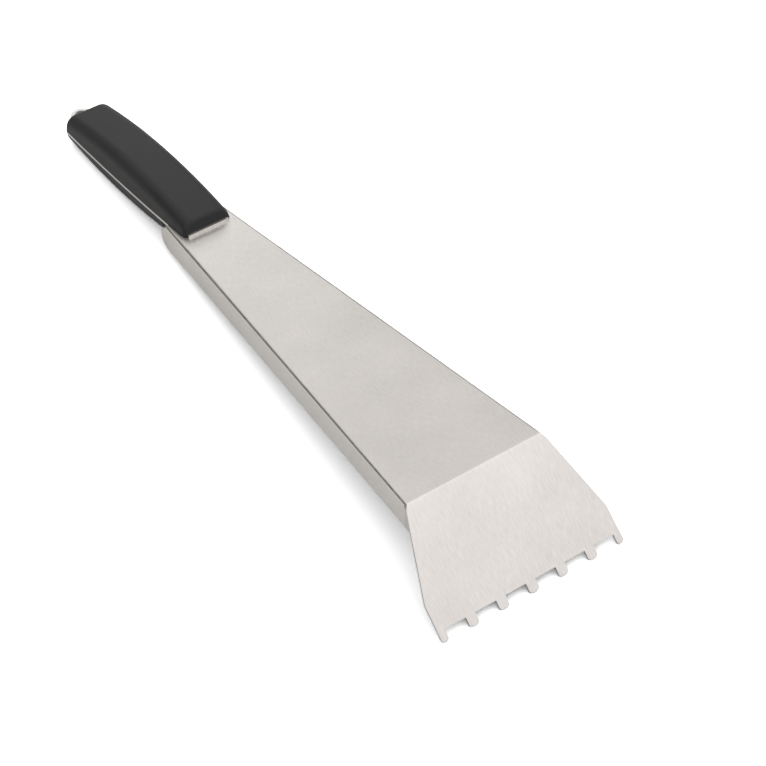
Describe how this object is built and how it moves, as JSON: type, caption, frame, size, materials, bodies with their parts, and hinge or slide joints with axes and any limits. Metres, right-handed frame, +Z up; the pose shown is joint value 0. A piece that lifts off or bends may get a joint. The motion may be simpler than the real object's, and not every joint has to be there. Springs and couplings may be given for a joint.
{
  "type": "grill scraper",
  "caption": "Long-handled scraper: a tapered folded steel sheet with a downturned toothed blade and side flanges, held in a two-part moulded grip with a hanging tab behind it.",
  "frame": {"origin": "centre of the bounding box's footprint, on the floor the tool rests on", "axes": "+X along the tool towards the toothed blade, +Z up from the floor, +Y to the left when looking along +X; the tool rests on its tooth tips and the underside of the grip"},
  "size_m": [0.4208, 0.1074, 0.0422],
  "materials": {
    "sheet_steel": "satin stainless sheet with a fine grain along the tool",
    "plate_steel": "satin",
    "grip_plastic": "charcoal, matte with a faint sheen",
    "screw_steel": "zinc plated",
    "insert_brass": "bare"
  },
  "bodies": {
    "root": {"scraper_sheet": "sheet_steel", "handle_plate": "plate_steel", "upper_grip": "grip_plastic", "lower_grip": "grip_plastic", "front_screw": "screw_steel", "rear_screw": "screw_steel", "front_insert": "insert_brass", "rear_insert": "insert_brass"}
  },
  "joints": []
}
